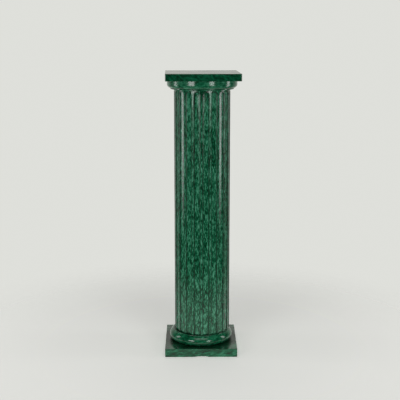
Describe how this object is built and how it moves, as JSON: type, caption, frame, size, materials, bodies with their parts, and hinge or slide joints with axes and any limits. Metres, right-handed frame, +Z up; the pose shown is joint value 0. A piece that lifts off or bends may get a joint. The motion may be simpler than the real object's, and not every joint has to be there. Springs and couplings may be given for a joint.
{
  "type": "doric column pedestal",
  "caption": "Free-standing fluted stone column with a square plinth, base torus, rounded capital and square flat top for a vase or bust.",
  "frame": {"origin": "middle of the plinth's underside", "axes": "+Z up along the shaft's axis, -Y the front, +X to the right seen from the front"},
  "size_m": [0.2665, 0.2658, 1.003],
  "materials": {
    "shaft_stone": "polished green marble with fine flecks and streaks running up the shaft",
    "turned_stone": "polished green marble, turned, with fine flecks",
    "slab_stone": "polished green marble slab with slanting streaks"
  },
  "bodies": {
    "root": {"plinth": "slab_stone", "base_torus": "turned_stone", "shaft": "shaft_stone", "capital": "turned_stone", "abacus": "slab_stone"}
  },
  "joints": []
}
